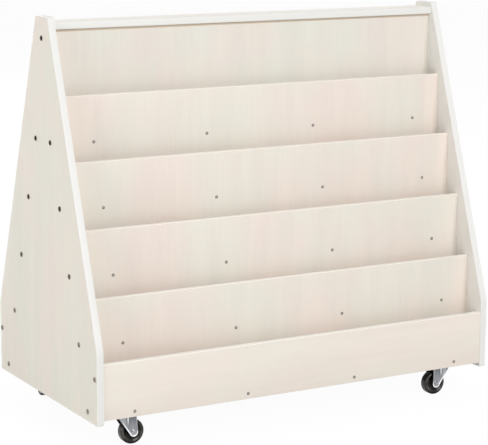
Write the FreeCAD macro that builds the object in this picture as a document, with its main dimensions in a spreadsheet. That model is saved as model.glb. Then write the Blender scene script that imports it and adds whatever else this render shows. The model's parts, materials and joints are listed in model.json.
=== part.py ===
"""Double-sided book cart: a stepped birch plywood display on four swivel casters.

The frame of the model: +X along the cart, +Z up, the front side at -Y. The origin lies on the
floor under the middle of the cart. Millimetres throughout.
"""

import math
import os

import FreeCAD
import Part
import Sketcher

document = FreeCAD.newDocument("book_cart")
sheet = document.addObject("Spreadsheet::Sheet", "Dimensions")

# ---------------------------------------------------------------- driving dimensions

DIMENSIONS = {
    # whole cart
    "cart_length": 914.4,
    "ground_clearance": 61,
    # side panels
    "side_height": 762,
    "side_depth": 476,
    "side_top_depth": 56,
    "side_straight_height": 145,
    "side_thickness": 15,
    "side_corner_radius": 2.5,
    "side_bend_radius": 60,
    "side_edge_chamfer": 0.8,
    # display boards and the shelves behind them
    "board_thickness": 12,
    "board_rise": 91.8,
    "board_edge_chamfer": 1.2,
    "back_panel_face": 20.6,
    "step_depth": 41.2,
    "first_shelf_height": 519.3,
    "first_step_height": 123.9,
    "step_height": 126.1,
    "shelf_thickness": 15,
    # top of the cart
    "rail_drop": 10,
    "rail_depth": 56,
    "rail_thickness": 15,
    "rail_edge_chamfer": 1.6,
    "cleat_height": 35,
    "rail_gap": 0.6,
    # bottom of the cart
    "bottom_panel_thickness": 15,
    "bottom_panel_inset": 2,
    "bottom_panel_low": 8.4,
    "bottom_panel_high": 119.4,
    "base_board_low": 12,
    "base_board_thickness": 15,
    # screws and dowels
    "screw_spacing": 251,
    "screw_radius": 3.6,
    "board_screw_length": 40,
    "side_screw_length": 50,
    "low_side_screw_inset": 42,
    "bottom_panel_screw_height": 91,
    "screw_head_proud": 0.3,
    "dowel_radius": 4,
    "dowel_length": 30,
    "dowel_sink": 10,
    "dowel_spacing": 250,
    # casters
    "caster_across": 760,
    "caster_along_depth": 367,
    "caster_height": 73,
    "caster_trail": 20,
    "wheel_radius": 25,
    "tread_half_width": 9.5,
    "wheel_hub_radius": 7,
    "wheel_hub_half_width": 11.3,
    "sleeve_radius": 3.94,
    "running_gap": 0.06,
    "end_gap": 0.2,
    "axle_radius": 3,
    "axle_hex": 9,
    "axle_head_height": 2.4,
    "axle_nut_height": 4,
    "axle_end": 1,
    "fork_inner_half_width": 11.5,
    "sheet_steel": 2,
    "fork_flange": 1.2,
    "fork_rim_width": 2.4,
    "fork_foot_radius": 8.8,
    "fork_nose": 20,
    "fork_back": 25.5,
    "fork_shoulder_height": 69.7,
    "fork_fold_chamfer": 2,
    "crown_radius": 20.5,
    "plate_side": 62,
    "plate_thickness": 2.5,
    "plate_corner_cut": 5,
    "plate_hole_spacing": 48,
    "plate_screw_radius": 3,
    "plate_screw_head": 2,
    "plate_screw_length": 16,
    "kingpin_radius": 4,
    "kingpin_hex": 14,
    "kingpin_head_height": 4,
}

for row, (alias, number) in enumerate(DIMENSIONS.items(), start=1):
    sheet.set(f"A{row}", alias.replace("_", " "))
    sheet.set(f"B{row}", str(number))
    sheet.setAlias(f"B{row}", alias)
document.recompute()


class Size:
    """A length that carries its value and the spreadsheet formula behind it."""

    def __init__(self, value, formula):
        self.value = float(value)
        self.formula = formula

    def __add__(self, other):
        other = as_size(other)
        return Size(self.value + other.value, f"({self.formula} + {other.formula})")

    def __sub__(self, other):
        other = as_size(other)
        return Size(self.value - other.value, f"({self.formula} - {other.formula})")

    def __mul__(self, factor):
        return Size(self.value * factor, f"({self.formula} * {factor})")

    def __truediv__(self, divisor):
        return Size(self.value / divisor, f"({self.formula} / {divisor})")

    def __neg__(self):
        return Size(-self.value, f"(-1 * {self.formula})")


def as_size(value):
    """A plain number becomes a Size whose formula is that number."""
    return value if isinstance(value, Size) else Size(value, str(value))


def named(alias):
    """The driving dimension of that name."""
    return Size(DIMENSIONS[alias], f"{sheet.Name}.{alias}")


# ---------------------------------------------------------------- sketching helpers

# how a sketch numbers its own two axes, and the points of a line or an arc
AXIS_ACROSS = -1
AXIS_UP = -2
START, END, CENTRE = 1, 2, 3
# one over the cosine of 30 degrees: a hexagon's corner radius from half its width over flats
SECANT_30 = 1.1547
# the corners of a hexagon of radius 1
SIXTHS = [
    (1, 0), (0.5, 0.86603), (-0.5, 0.86603), (-1, 0), (-0.5, -0.86603), (0.5, -0.86603),
]


def new_body(label):
    """An empty PartDesign body whose label names its file."""
    body = document.addObject("PartDesign::Body", label)
    body.Label = label
    return body


def new_sketch(body, name, plane, offset=0):
    """A sketch on one of the body's own origin planes, moved along that plane's normal."""
    sketch = body.newObject("Sketcher::SketchObject", name)
    support = [item for item in body.Origin.OriginFeatures if item.Role == plane]
    sketch.AttachmentSupport = [(support[0], "")]
    sketch.MapMode = "FlatFace"
    bind(sketch, "AttachmentOffset.Base.z", offset)
    return sketch


def bind(item, name, size):
    """Tie one property to its spreadsheet formula."""
    item.setExpression(name, as_size(size).formula)


def constrain(sketch, kind, elements, size):
    """Add a dimensional constraint and tie it to its formula."""
    size = as_size(size)
    number = sketch.addConstraint(Sketcher.Constraint(kind, *elements, size.value))
    sketch.setExpression(f"Constraints[{number}]", size.formula)


def pin_point(sketch, geometry, point, place):
    """Fix a point at (across, up) from the sketch's origin."""
    across, up = (as_size(size) for size in place)
    for kind, axis, size in (("DistanceX", AXIS_UP, across), ("DistanceY", AXIS_ACROSS, up)):
        if size.value == 0:
            sketch.addConstraint(Sketcher.Constraint("PointOnObject", geometry, point, axis))
        else:
            constrain(sketch, kind, (-1, START, geometry, point), size)


def vector(place):
    """The start position of a sketched point."""
    across, up = (as_size(size) for size in place)
    return FreeCAD.Vector(across.value, up.value, 0)


def draw_polygon(sketch, corners):
    """A closed outline of straight lines through the corners."""
    first = sketch.GeometryCount
    count = len(corners)
    for number in range(count):
        start, end = corners[number], corners[(number + 1) % count]
        sketch.addGeometry(Part.LineSegment(vector(start), vector(end)))
    for number in range(count):
        line, following = first + number, first + (number + 1) % count
        sketch.addConstraint(Sketcher.Constraint("Coincident", line, END, following, START))
        pin_point(sketch, line, START, corners[number])


def draw_rectangle(sketch, low, high):
    """A rectangle from its low corner to its high corner."""
    draw_polygon(sketch, [low, (high[0], low[1]), high, (low[0], high[1])])


def draw_circle(sketch, centre, radius):
    """A circle about a pinned centre."""
    radius = as_size(radius)
    number = sketch.addGeometry(Part.Circle(vector(centre), FreeCAD.Vector(0, 0, 1), radius.value))
    pin_point(sketch, number, CENTRE, centre)
    constrain(sketch, "Radius", (number,), radius)


def draw_hexagon(sketch, centre, radius):
    """A hole for a plain six-sided fastener, about its centre."""
    draw_polygon(sketch, [
        (centre[0] + radius * across, centre[1] + radius * up) for across, up in SIXTHS
    ])


def pad(body, sketch, length, midplane=False):
    """Extrude a sketch into material."""
    feature = body.newObject("PartDesign::Pad", f"{sketch.Name}_pad")
    feature.Profile = sketch
    feature.Midplane = midplane
    bind(feature, "Length", length)
    return feature


def pocket(body, sketch, length, midplane=False, reverse=False):
    """Extrude a sketch out of the material, and make sure that it removed some."""
    document.recompute()
    before = body.Shape.Volume
    feature = body.newObject("PartDesign::Pocket", f"{sketch.Name}_pocket")
    feature.Profile = sketch
    feature.Midplane = midplane
    feature.Reversed = reverse
    bind(feature, "Length", length)
    document.recompute()
    if not body.Shape.Volume < before:
        raise RuntimeError(f"{feature.Name} removes nothing")
    return feature


def revolve(body, sketch, axis):
    """Turn a sketch once round one of its own axes."""
    feature = body.newObject("PartDesign::Revolution", f"{sketch.Name}_turned")
    feature.Profile = sketch
    feature.ReferenceAxis = (sketch, [axis])
    feature.Angle = 360
    return feature


def chosen_edges(base, chosen):
    """The names of the edges of a feature that the test picks out."""
    document.recompute()
    return [
        f"Edge{number}"
        for number, edge in enumerate(base.Shape.Edges, start=1)
        if chosen(edge)
    ]


def fillet(body, name, base, radius, chosen):
    """Round some edges of the base feature."""
    feature = body.newObject("PartDesign::Fillet", name)
    feature.Base = (base, chosen_edges(base, chosen))
    bind(feature, "Radius", radius)
    return feature


def chamfer(body, name, base, size, chosen):
    """Bevel some edges of the base feature."""
    feature = body.newObject("PartDesign::Chamfer", name)
    feature.Base = (base, chosen_edges(base, chosen))
    bind(feature, "Size", size)
    return feature


def runs_along(edge, direction):
    """Whether a straight edge is parallel to one of the axes X, Y, Z."""
    if edge.Curve.TypeId != "Part::GeomLine":
        return False
    along = edge.Curve.Direction
    return abs(getattr(along, direction)) > 0.999


def near(value, size):
    """Whether a measured coordinate is at a size."""
    return abs(value - as_size(size).value) < 0.01


# ---------------------------------------------------------------- shared heights and depths

half_length = named("cart_length") / 2
inside_half_length = half_length - named("side_thickness")
panel_bottom = named("ground_clearance")
panel_top = panel_bottom + named("side_height")
board_thickness = named("board_thickness")
rail_bottom = panel_top - named("rail_drop") - named("rail_thickness")
base_bottom = panel_bottom + named("base_board_low")
base_top = base_bottom + named("base_board_thickness")
base_middle = base_bottom + named("base_board_thickness") / 2
bottom_panel_face = named("side_depth") / 2 - named("bottom_panel_inset")
bottom_panel_back = bottom_panel_face - named("bottom_panel_thickness")
BOARDS = (1, 2, 3, 4)
SIDES = {"front": -1, "rear": 1}


def board_face(step):
    """Distance of a board's outer face from the middle of the cart; step 0 is the top panel."""
    return named("back_panel_face") + named("step_depth") * step


def shelf_middle(step):
    """Height of the middle of the shelf behind board 1, 2, 3 or 4."""
    first = panel_bottom + named("first_shelf_height")
    if step == 1:
        return first
    return first - named("first_step_height") - named("step_height") * (step - 2)


# ---------------------------------------------------------------- wooden pieces

def side_panel(label, side):
    """A plywood side with straight lower edges, slanted upper edges and eased rims."""
    body = new_body(label)
    base, top = named("side_depth") / 2, named("side_top_depth") / 2
    bend = panel_bottom + named("side_straight_height")
    offset = inside_half_length if side > 0 else -half_length
    outline = new_sketch(body, f"{label}_outline", "YZ_Plane", offset)
    draw_polygon(outline, [
        (-base, panel_bottom), (base, panel_bottom), (base, bend),
        (top, panel_top), (-top, panel_top), (-base, bend),
    ])
    board = pad(body, outline, named("side_thickness"))

    def at_bend(edge):
        return runs_along(edge, "x") and near(edge.CenterOfMass.z, bend)

    def at_corner(edge):
        return runs_along(edge, "x") and not near(edge.CenterOfMass.z, bend)

    bent = fillet(body, f"{label}_bends", board, named("side_bend_radius"), at_bend)
    rounded = fillet(body, f"{label}_corners", bent, named("side_corner_radius"), at_corner)
    chamfer(body, f"{label}_rims", rounded, named("side_edge_chamfer"),
            lambda edge: not runs_along(edge, "x"))


def long_board(label, low, high, bevel=None, top_only=True):
    """A board between the side panels, drawn as its section in depth and height."""
    body = new_body(label)
    section = new_sketch(body, f"{label}_section", "YZ_Plane")
    draw_rectangle(section, low, high)
    board = pad(body, section, inside_half_length * 2, midplane=True)
    if bevel is not None:
        chamfer(body, f"{label}_edges", board, bevel,
                lambda edge: runs_along(edge, "x")
                and (not top_only or near(edge.CenterOfMass.z, high[1])))


def depth_span(sign, inner, outer):
    """The low and high Y of a board on the front (-1) or rear (1) side."""
    return (-outer, -inner) if sign < 0 else (inner, outer)


def make_wood():
    """Every wooden piece of the cart."""
    side_panel("side_panel_left", -1)
    side_panel("side_panel_right", 1)
    half_rail = named("rail_depth") / 2
    long_board("top_rail", (-half_rail, rail_bottom),
               (half_rail, rail_bottom + named("rail_thickness")),
               named("rail_edge_chamfer"), top_only=False)
    cleat = board_face(0) - board_thickness
    cleat_bottom = rail_bottom - named("cleat_height")
    long_board("top_cleat", (-cleat, cleat_bottom), (cleat, rail_bottom))
    long_board("base_board", (-bottom_panel_back, base_bottom), (bottom_panel_back, base_top))
    for side, sign in SIDES.items():
        half_shelf = named("shelf_thickness") / 2
        low, high = depth_span(sign, cleat, board_face(0))
        long_board(f"top_panel_{side}", (low, shelf_middle(1) - half_shelf),
                   (high, rail_bottom - named("rail_gap")))
        for step in BOARDS:
            back = board_face(step) - board_thickness
            foot = base_top if step == BOARDS[-1] else shelf_middle(step + 1) - half_shelf
            low, high = depth_span(sign, back, board_face(step))
            long_board(f"display_board_{side}_{step}", (low, foot),
                       (high, shelf_middle(step) + named("board_rise")),
                       named("board_edge_chamfer"))
            low, high = depth_span(sign, board_face(step - 1), back)
            long_board(f"shelf_{side}_{step}", (low, shelf_middle(step) - half_shelf),
                       (high, shelf_middle(step) + half_shelf))
        low, high = depth_span(sign, bottom_panel_back, bottom_panel_face)
        long_board(f"bottom_panel_{side}", (low, panel_bottom + named("bottom_panel_low")),
                   (high, panel_bottom + named("bottom_panel_high")),
                   named("board_edge_chamfer"))


# ---------------------------------------------------------------- screws and dowels

# four columns about the middle of the cart, counted in spacings
COLUMNS = (-1.5, -0.5, 0.5, 1.5)


def hexagon_bar(name, radius, length):
    """A six-sided bar, the plain form of every screw, bolt and nut."""
    bar = document.addObject("Part::Prism", name)
    bar.Polygon = 6
    bind(bar, "Circumradius", radius)
    bind(bar, "Height", length)
    return bar


def plain_screw(name, place, direction, length):
    """A wood screw drawn as a plain bar from its head to its tip."""
    screw = hexagon_bar(name, named("screw_radius"), length)
    screw.Placement.Rotation = FreeCAD.Rotation(FreeCAD.Vector(0, 0, 1), FreeCAD.Vector(*direction))
    for axis, size in zip("xyz", place):
        bind(screw, f"Placement.Base.{axis}", size)
    return screw


def group(label, members):
    """Separate solids of one kind that share a node."""
    compound = document.addObject("Part::Compound", label)
    compound.Label = label
    compound.Links = members
    return compound


def side_screw_places():
    """Depth and height of each screw on one side panel."""
    places = [(as_size(0), rail_bottom - named("cleat_height") / 2)]
    bottom_screw = bottom_panel_face - named("bottom_panel_thickness") / 2
    low_screw = named("side_depth") / 2 - named("low_side_screw_inset")
    for sign in SIDES.values():
        for step in BOARDS:
            middle = (board_face(step - 1) + board_face(step) - board_thickness) / 2
            places.append((middle * sign, shelf_middle(step)))
        places.append((bottom_screw * sign, panel_bottom + named("bottom_panel_screw_height")))
        places.append((low_screw * sign, base_middle))
    return places


def make_side_screws():
    """The dark screws that hold the boards between the side panels."""
    screws = []
    outside = half_length + named("screw_head_proud")
    for side in (-1, 1):
        for depth, height in side_screw_places():
            name = f"side_screw_{len(screws) + 1}"
            screws.append(plain_screw(name, (outside * side, depth, height), (-side, 0, 0),
                                      named("side_screw_length")))
    group("side_panel_screws", screws)


def make_board_screws():
    """Four screws through each display board and each bottom panel."""
    screws = []
    for sign in SIDES.values():
        rows = [(board_face(step), shelf_middle(step)) for step in BOARDS]
        rows.append((bottom_panel_face, base_middle))
        for face, height in rows:
            for column in COLUMNS:
                place = (named("screw_spacing") * column,
                         (face + named("screw_head_proud")) * sign, height)
                name = f"board_screw_{len(screws) + 1}"
                screws.append(plain_screw(name, place, (0, -sign, 0),
                                          named("board_screw_length")))
    group("board_screws", screws)


def make_dowels():
    """Wooden dowels that hold the top rail on the cleat."""
    dowels = []
    for column in COLUMNS:
        dowel = hexagon_bar(f"dowel_{len(dowels) + 1}", named("dowel_radius"),
                            named("dowel_length"))
        bind(dowel, "Placement.Base.x", named("dowel_spacing") * column)
        bind(dowel, "Placement.Base.z", rail_bottom + named("dowel_sink") - named("dowel_length"))
        dowels.append(dowel)
    group("rail_dowels", dowels)


# ---------------------------------------------------------------- casters

# how far a cutting sketch reaches past its caster piece
CLEAR = 100
# each corner's side along X, its side along Y, and the turn of its fork from trailing along +X
CORNERS = {
    "front_left": (-1, -1, 0),
    "front_right": (1, -1, 180),
    "rear_left": (-1, 1, 80),
    "rear_right": (1, 1, 180),
}
# where the foot's arc begins and ends, before its tangents settle it
FOOT_START, FOOT_END = 3.76, 6.36
# straight lines round a circle of radius 1, 45 or 55 degrees apart: from contact to corner
EIGHTH_CUT, NOSE_CUT = 0.4142, 0.52
# one over the cosine of the nose's 35 degrees from upright
NOSE_SECANT = 1.22

trail, axle_height = named("caster_trail"), named("wheel_radius")
leg_inner = named("fork_inner_half_width")
leg_outer = leg_inner + named("sheet_steel")
rim_outer = leg_outer + named("fork_flange")
plate_bottom = named("caster_height") - named("plate_thickness")
crown_top = plate_bottom - named("end_gap")
crown_bottom = crown_top - named("sheet_steel")
foot_radius = named("fork_foot_radius")
blank_bottom = axle_height - foot_radius - named("sheet_steel")


def stand(item, corner, turned=True, at_axle=False):
    """Put a caster piece on its swivel or axle, turned to its corner's rest direction or not."""
    along_x, along_y, turn = CORNERS[corner]
    if turned:
        item.Placement.Rotation = FreeCAD.Rotation(FreeCAD.Vector(0, 0, 1), turn)
    across = named("caster_across") * (along_x / 2)
    depth = named("caster_along_depth") * (along_y / 2)
    if at_axle:
        across = across + trail * math.cos(math.radians(turn))
        depth = depth + trail * math.sin(math.radians(turn))
        bind(item, "Placement.Base.z", axle_height)
    bind(item, "Placement.Base.x", across)
    bind(item, "Placement.Base.y", depth)


def draw_leg(sketch):
    """Side view of a fork leg: a round foot about the axle below a slanted nose and back."""
    nose = (-named("fork_nose"), named("fork_shoulder_height"))
    back = (named("fork_back"), named("fork_shoulder_height"))
    top = crown_top + CLEAR
    first = sketch.GeometryCount
    circle = Part.Circle(vector((trail, axle_height)), FreeCAD.Vector(0, 0, 1), foot_radius.value)
    foot = Part.ArcOfCircle(circle, FOOT_START, FOOT_END)
    sketch.addGeometry([
        foot,
        Part.LineSegment(foot.EndPoint, vector(back)),
        Part.LineSegment(vector(back), vector((back[0], top))),
        Part.LineSegment(vector((back[0], top)), vector((nose[0], top))),
        Part.LineSegment(vector((nose[0], top)), vector(nose)),
        Part.LineSegment(vector(nose), foot.StartPoint),
    ])
    arc, line_back, line_rise, line_lid, line_drop, line_nose = range(first, first + 6)
    sketch.addConstraint([
        Sketcher.Constraint("Tangent", arc, END, line_back, START),
        Sketcher.Constraint("Coincident", line_back, END, line_rise, START),
        Sketcher.Constraint("Coincident", line_rise, END, line_lid, START),
        Sketcher.Constraint("Coincident", line_lid, END, line_drop, START),
        Sketcher.Constraint("Coincident", line_drop, END, line_nose, START),
        Sketcher.Constraint("Tangent", line_nose, END, arc, START),
        Sketcher.Constraint("Vertical", line_rise),
        Sketcher.Constraint("Horizontal", line_lid),
        Sketcher.Constraint("Vertical", line_drop),
    ])
    pin_point(sketch, arc, CENTRE, (trail, axle_height))
    constrain(sketch, "Radius", (arc,), foot_radius)
    pin_point(sketch, line_back, END, back)
    pin_point(sketch, line_nose, START, nose)
    constrain(sketch, "DistanceY", (-1, START, line_rise, END), top)


def draw_hollow(sketch):
    """Side view of the hollow inside the turned-out rim, straight-sided round the foot."""
    rim = named("fork_rim_width")
    radius = foot_radius - rim
    shoulder, top = named("fork_shoulder_height"), crown_top + CLEAR
    back, front = named("fork_back") - rim, rim * NOSE_SECANT - named("fork_nose")
    heel, sole = trail + radius, axle_height - radius
    draw_polygon(sketch, [
        (back, top), (back, shoulder), (heel, axle_height),
        (heel, axle_height - radius * EIGHTH_CUT), (trail + radius * EIGHTH_CUT, sole),
        (trail - radius * NOSE_CUT, sole), (front, shoulder), (front, top),
    ])


def leg_blank(label, half_width, top):
    """A block as wide as the fork, cut to the side view of its legs."""
    body = new_body(label)
    plan = new_sketch(body, f"{label}_plan", "XY_Plane", blank_bottom)
    draw_rectangle(plan, (-named("fork_nose"), -half_width), (trail + foot_radius, half_width))
    pad(body, plan, top - blank_bottom)
    side = new_sketch(body, f"{label}_side", "XZ_Plane")
    draw_rectangle(side, (-CLEAR, -CLEAR), (CLEAR, CLEAR * 2))
    draw_leg(side)
    return body, pocket(body, side, CLEAR, midplane=True)


def open_between_legs(body):
    """Cut the room for the wheel out of the blank, up to the crown."""
    room = new_sketch(body, f"{body.Label}_room", "XY_Plane", blank_bottom)
    draw_rectangle(room, (named("sheet_steel") - named("fork_nose"), -leg_inner),
                   (CLEAR, leg_inner))
    pocket(body, room, crown_bottom - blank_bottom, reverse=True)


def fork(corner):
    """Stamped swivel fork: a round crown and two folded legs with turned-out rims."""
    shell, cut = leg_blank(f"fork_shell_{corner}", leg_outer, crown_top)
    chamfer(shell, f"fork_folds_{corner}", cut, named("fork_fold_chamfer"),
            lambda edge: near(edge.CenterOfMass.z, crown_top) and not runs_along(edge, "y"))
    crown = new_sketch(shell, f"fork_crown_{corner}", "XY_Plane", crown_bottom)
    draw_circle(crown, (0, 0), named("crown_radius"))
    pad(shell, crown, named("sheet_steel"))
    open_between_legs(shell)
    pin_hole = new_sketch(shell, f"fork_pin_hole_{corner}", "XY_Plane")
    draw_circle(pin_hole, (0, 0), named("kingpin_radius") + named("running_gap"))
    pocket(shell, pin_hole, CLEAR * 2, midplane=True)
    axle_hole = new_sketch(shell, f"fork_axle_hole_{corner}", "XZ_Plane")
    draw_hexagon(axle_hole, (trail, axle_height), named("axle_radius"))
    pocket(shell, axle_hole, CLEAR, midplane=True)

    rim, _ = leg_blank(f"fork_rim_{corner}", rim_outer, crown_bottom)
    hollow = new_sketch(rim, f"fork_hollow_{corner}", "XZ_Plane")
    draw_hollow(hollow)
    pocket(rim, hollow, CLEAR, midplane=True)
    open_between_legs(rim)

    whole = document.addObject("Part::MultiFuse", f"fork_{corner}")
    whole.Label = f"fork_{corner}"
    whole.Shapes = [shell, rim]
    whole.Refine = True
    stand(whole, corner)


def wheel(corner):
    """Solid wheel whose hub is longer than the tread is wide."""
    body = new_body(f"wheel_{corner}")
    profile = new_sketch(body, f"wheel_profile_{corner}", "XY_Plane")
    bore = named("sleeve_radius") + named("running_gap")
    side = [
        (bore, named("wheel_hub_half_width")),
        (named("wheel_hub_radius"), named("wheel_hub_half_width")),
        (named("wheel_hub_radius"), named("tread_half_width")),
        (named("wheel_radius"), named("tread_half_width")),
    ]
    draw_polygon(profile, side + [(radius, -width) for radius, width in reversed(side)])
    revolve(body, profile, "V_Axis")
    stand(body, corner, at_axle=True)


def axle_sleeve(corner):
    """The steel tube clamped between the legs, on which the wheel runs."""
    body = new_body(f"axle_sleeve_{corner}")
    ring = new_sketch(body, f"axle_sleeve_ring_{corner}", "XZ_Plane")
    draw_circle(ring, (0, 0), named("sleeve_radius"))
    draw_hexagon(ring, (as_size(0), as_size(0)), named("axle_radius"))
    pad(body, ring, leg_inner * 2, midplane=True)
    stand(body, corner, at_axle=True)


def along_axle(bar, start):
    """Turn a bar from +Z to +Y and start it at that distance along the axle."""
    bar.Placement.Rotation = FreeCAD.Rotation(FreeCAD.Vector(1, 0, 0), -90)
    bind(bar, "Placement.Base.y", start)
    return bar


def axle_hexagon(name, start, height):
    """The six-sided head or nut."""
    return along_axle(hexagon_bar(name, named("axle_hex") * (SECANT_30 / 2), height), start)


def axle_shank(name, start, height):
    """The shank that fills the holes of the legs, the sleeve and the nut."""
    return along_axle(hexagon_bar(name, named("axle_radius"), height), start)


def axle_bolt(corner):
    """Hexagon-head bolt through both legs and the sleeve."""
    head_height = named("axle_head_height")
    shank_length = leg_outer * 2 + named("axle_nut_height") + named("axle_end")
    bolt = document.addObject("Part::MultiFuse", f"axle_bolt_{corner}")
    bolt.Label = f"axle_bolt_{corner}"
    bolt.Shapes = [
        axle_hexagon(f"axle_head_{corner}", -leg_outer - head_height, head_height),
        axle_shank(f"axle_shank_{corner}", -leg_outer, shank_length),
    ]
    bolt.Refine = True
    stand(bolt, corner, at_axle=True)


def axle_nut(corner):
    """The nut on the far end of the axle bolt."""
    nut = document.addObject("Part::Cut", f"axle_nut_{corner}")
    nut.Label = f"axle_nut_{corner}"
    nut.Base = axle_hexagon(f"axle_nut_blank_{corner}", leg_outer, named("axle_nut_height"))
    nut.Tool = axle_shank(f"axle_nut_hole_{corner}", leg_outer, named("axle_nut_height"))
    stand(nut, corner, at_axle=True)


def caster_plate(corner):
    """Top plate with cut corners and four screw holes."""
    body = new_body(f"caster_plate_{corner}")
    half = named("plate_side") / 2
    square = new_sketch(body, f"plate_square_{corner}", "XY_Plane", plate_bottom)
    draw_rectangle(square, (-half, -half), (half, half))
    slab = pad(body, square, named("plate_thickness"))
    chamfer(body, f"plate_corners_{corner}", slab, named("plate_corner_cut"),
            lambda edge: runs_along(edge, "z"))
    holes = new_sketch(body, f"plate_holes_{corner}", "XY_Plane", plate_bottom)
    spread = named("plate_hole_spacing") / 2
    for sign_x in (-1, 1):
        for sign_y in (-1, 1):
            draw_hexagon(holes, (spread * sign_x, spread * sign_y), named("plate_screw_radius"))
    pocket(body, holes, named("plate_thickness"), reverse=True)
    stand(body, corner, turned=False)


def make_kingpins():
    """Under each plate the kingpin, whose six-sided head holds the fork's crown up."""
    pins = []
    head_top = crown_bottom - named("end_gap")
    head_height = named("kingpin_head_height")
    for corner in CORNERS:
        shank = document.addObject("Part::Cylinder", f"kingpin_shank_{corner}")
        bind(shank, "Radius", named("kingpin_radius"))
        bind(shank, "Height", plate_bottom - head_top)
        bind(shank, "Placement.Base.z", head_top)
        head = hexagon_bar(f"kingpin_head_{corner}", named("kingpin_hex") * (SECANT_30 / 2),
                           head_height)
        bind(head, "Placement.Base.z", head_top - head_height)
        pin = document.addObject("Part::MultiFuse", f"kingpin_{corner}")
        pin.Shapes = [shank, head]
        pin.Refine = True
        stand(pin, corner, turned=False)
        pins.append(pin)
    group("kingpins", pins)


def make_caster_screws():
    """The screws that hold the four plates to the base board, as plain bars."""
    screws = []
    spread = named("plate_hole_spacing") / 2
    for along_x, along_y, _ in CORNERS.values():
        for sign_x in (-1, 1):
            for sign_y in (-1, 1):
                place = (named("caster_across") * (along_x / 2) + spread * sign_x,
                         named("caster_along_depth") * (along_y / 2) + spread * sign_y,
                         plate_bottom - named("plate_screw_head"))
                screw = hexagon_bar(f"caster_screw_{len(screws) + 1}",
                                    named("plate_screw_radius"), named("plate_screw_length"))
                for axis, size in zip("xyz", place):
                    bind(screw, f"Placement.Base.{axis}", size)
                screws.append(screw)
    group("caster_screws", screws)


def make_casters():
    """Four casters and the screws that hold them."""
    for corner in CORNERS:
        for make_piece in (caster_plate, fork, wheel, axle_sleeve, axle_bolt, axle_nut):
            make_piece(corner)
    make_kingpins()
    make_caster_screws()


# ---------------------------------------------------------------- build, test and write

CASTER_PIECES = ("caster_plate", "fork", "wheel", "axle_sleeve", "axle_bolt", "axle_nut")


def piece_names():
    """The labels of the pieces that are written out, one file each."""
    names = ["side_panel_left", "side_panel_right", "top_rail", "top_cleat", "base_board",
             "side_panel_screws", "board_screws", "rail_dowels", "caster_screws", "kingpins"]
    for side in SIDES:
        names += [f"top_panel_{side}", f"bottom_panel_{side}"]
        names += [f"{piece}_{side}_{step}" for piece in ("display_board", "shelf")
                  for step in BOARDS]
    names += [f"{piece}_{corner}" for corner in CORNERS for piece in CASTER_PIECES]
    return names


def main():
    """Build the cart, test every object and write each piece."""
    make_wood()
    make_side_screws()
    make_board_screws()
    make_dowels()
    make_casters()
    document.recompute()
    for item in document.Objects:
        if "Invalid" in item.State or "Error" in item.State:
            raise RuntimeError(f"{item.Name} did not compute: {item.State}")
    os.makedirs("parts", exist_ok=True)
    for name in piece_names():
        shape = document.getObjectsByLabel(name)[0].Shape
        if shape.isNull() or not shape.isValid():
            raise RuntimeError(f"{name} has no valid shape")
        shape.exportStep(f"parts/{name}.step")
    print(len(piece_names()), "pieces written")


main()
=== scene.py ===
"""The looks of a double-sided book cart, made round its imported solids.

The cart is pale birch plywood with whitened edges, on zinc plated swivel casters with glossy
black wheels. Lengths are in metres, +X along the cart, +Z up, and the front faces -Y.
"""

import json
import math

import bmesh
import bpy
from mathutils import Matrix, Vector


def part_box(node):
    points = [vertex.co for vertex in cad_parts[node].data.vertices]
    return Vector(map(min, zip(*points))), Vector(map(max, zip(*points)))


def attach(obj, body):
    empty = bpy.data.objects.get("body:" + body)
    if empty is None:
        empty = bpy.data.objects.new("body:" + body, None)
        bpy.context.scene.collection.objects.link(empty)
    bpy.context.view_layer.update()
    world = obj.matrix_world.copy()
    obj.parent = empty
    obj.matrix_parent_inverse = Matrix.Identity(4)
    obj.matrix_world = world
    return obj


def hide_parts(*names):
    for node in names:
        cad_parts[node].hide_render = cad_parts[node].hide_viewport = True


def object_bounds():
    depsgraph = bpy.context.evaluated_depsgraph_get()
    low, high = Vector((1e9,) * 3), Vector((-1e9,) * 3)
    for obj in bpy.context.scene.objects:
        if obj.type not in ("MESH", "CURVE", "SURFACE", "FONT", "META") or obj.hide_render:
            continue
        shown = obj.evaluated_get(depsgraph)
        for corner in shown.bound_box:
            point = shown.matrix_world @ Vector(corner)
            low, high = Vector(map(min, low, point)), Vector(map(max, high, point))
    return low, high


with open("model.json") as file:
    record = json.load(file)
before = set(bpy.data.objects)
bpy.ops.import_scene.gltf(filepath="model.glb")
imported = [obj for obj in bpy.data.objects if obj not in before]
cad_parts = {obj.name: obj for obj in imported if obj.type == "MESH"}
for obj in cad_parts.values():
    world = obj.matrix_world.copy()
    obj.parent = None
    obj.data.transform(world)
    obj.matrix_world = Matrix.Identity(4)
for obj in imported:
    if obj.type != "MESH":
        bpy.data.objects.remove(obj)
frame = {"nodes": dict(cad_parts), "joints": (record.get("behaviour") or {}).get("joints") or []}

cad_low, cad_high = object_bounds()
nodes = frame["nodes"]
MM = 0.001
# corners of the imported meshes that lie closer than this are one
WELD = 0.000002
# faces that meet at a smaller angle than this, in degrees, are shaded as one surface
SOFT_ANGLE = 38
SIDES = ("front", "rear")
STEPS = (1, 2, 3, 4)
CORNERS = ("front_left", "front_right", "rear_left", "rear_right")
AXES = {"x": Vector((1, 0, 0)), "y": Vector((0, 1, 0)), "z": Vector((0, 0, 1))}


# ---------------------------------------------------------------- shader helpers

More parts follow.
